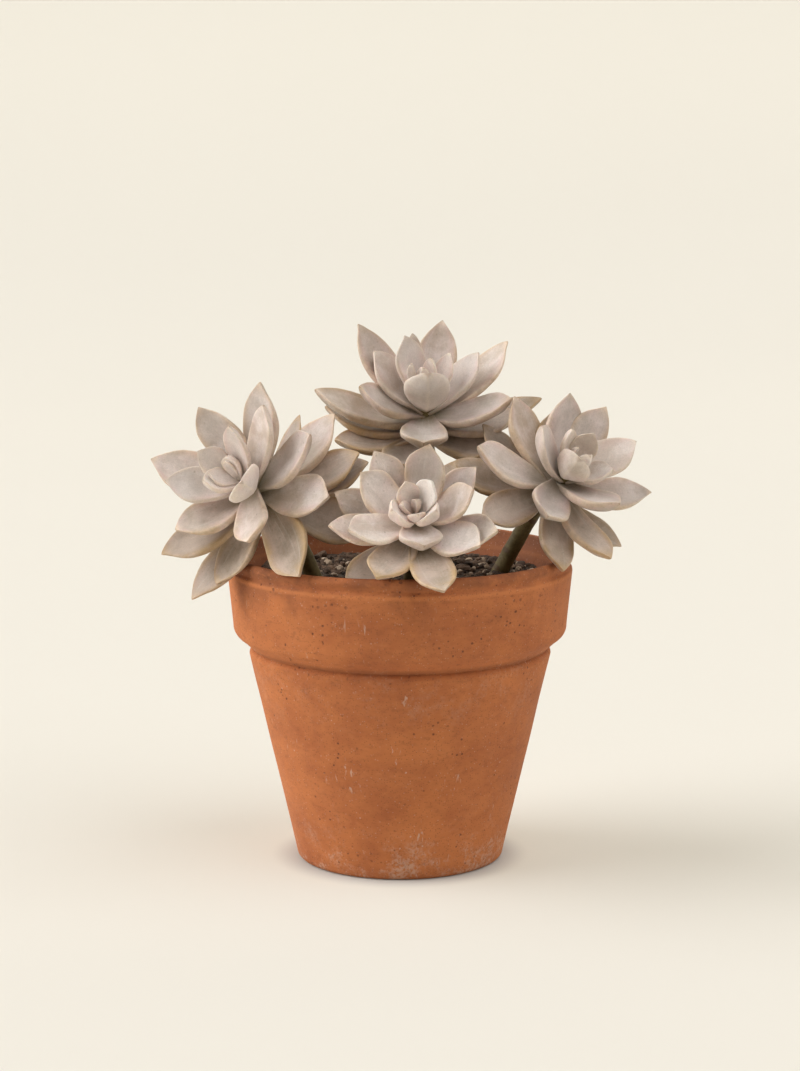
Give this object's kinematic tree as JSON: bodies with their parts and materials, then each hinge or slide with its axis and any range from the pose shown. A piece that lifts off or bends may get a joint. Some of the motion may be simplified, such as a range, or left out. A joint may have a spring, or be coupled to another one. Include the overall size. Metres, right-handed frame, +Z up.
{
  "type": "potted succulent",
  "caption": "Tapered clay flowerpot with a deep collar, filled with dark grit and planted with rosettes of thick pointed mauve-grey leaves on short leaning stems.",
  "frame": {"origin": "centre of the pot's flat underside, on the pot's own axis", "axes": "+Z up along the pot's axis, -Y towards the front rosette, +X to the right seen from the front"},
  "size_m": [0.214, 0.1684, 0.2332],
  "materials": {
    "terracotta": "unglazed fired clay, matte, with pale lime bloom near the foot",
    "potting_grit": "loose dark grit with pale grains of perlite, matte",
    "leaf_skin": "fleshy leaf with a powdery mauve-grey bloom, soft matte sheen",
    "young_leaf_skin": "young leaf with a paler pinkish bloom, soft matte sheen",
    "stem_skin": "smooth grey-green stem skin, matte"
  },
  "bodies": {
    "root": {"clay_pot": "terracotta", "potting_grit": "potting_grit", "left_stem": "stem_skin", "left_rosette_heart": "young_leaf_skin", "left_leaf_front": "leaf_skin", "left_leaf_upper_left": "leaf_skin", "left_leaf_upper_right": "leaf_skin", "left_leaf_lower_left": "leaf_skin", "left_leaf_top": "leaf_skin", "left_leaf_far_left": "leaf_skin", "left_leaf_right": "leaf_skin", "left_leaf_back_right": "leaf_skin", "left_leaf_hanging_right": "leaf_skin", "left_leaf_lower_left_outer": "leaf_skin", "left_leaf_hanging_left": "leaf_skin", "left_leaf_hanging_left_outer": "leaf_skin", "left_leaf_far_right": "leaf_skin", "left_leaf_low_right": "leaf_skin", "front_stem": "stem_skin", "front_rosette_heart": "young_leaf_skin", "front_leaf_right": "leaf_skin", "front_leaf_upper_right": "leaf_skin", "front_leaf_top": "leaf_skin", "front_leaf_upper_left": "leaf_skin", "front_leaf_hanging_left": "leaf_skin", "front_leaf_upper_left_outer": "leaf_skin", "front_leaf_right_outer": "leaf_skin", "front_leaf_hanging_right": "leaf_skin", "front_leaf_left": "leaf_skin", "front_leaf_upper_right_outer": "leaf_skin", "front_leaf_far_left": "leaf_skin", "front_leaf_hanging_left_outer": "leaf_skin", "top_stem": "stem_skin", "top_rosette_heart": "young_leaf_skin", "top_leaf_front": "leaf_skin", "top_leaf_upper_left": "leaf_skin", "top_leaf_upper_back": "leaf_skin", "top_leaf_left": "leaf_skin", "top_leaf_right": "leaf_skin", "top_leaf_far_left": "leaf_skin", "top_leaf_upper_right": "leaf_skin", "top_leaf_lower_left": "leaf_skin", "top_leaf_lower_right": "leaf_skin", "top_leaf_far_right": "leaf_skin", "top_leaf_under_left": "leaf_skin", "top_leaf_under_right": "leaf_skin", "top_leaf_under_front": "leaf_skin", "right_stem": "stem_skin", "right_rosette_heart": "young_leaf_skin", "right_leaf_front": "leaf_skin", "right_leaf_lower_right": "leaf_skin", "right_leaf_top": "leaf_skin", "right_leaf_upper_right": "leaf_skin", "right_leaf_left": "leaf_skin", "right_leaf_upper_left": "leaf_skin", "right_leaf_hanging_right": "leaf_skin", "right_leaf_far_right": "leaf_skin", "right_leaf_hanging_front": "leaf_skin", "right_leaf_hanging_left": "leaf_skin", "right_leaf_under_left": "leaf_skin"}
  },
  "joints": []
}
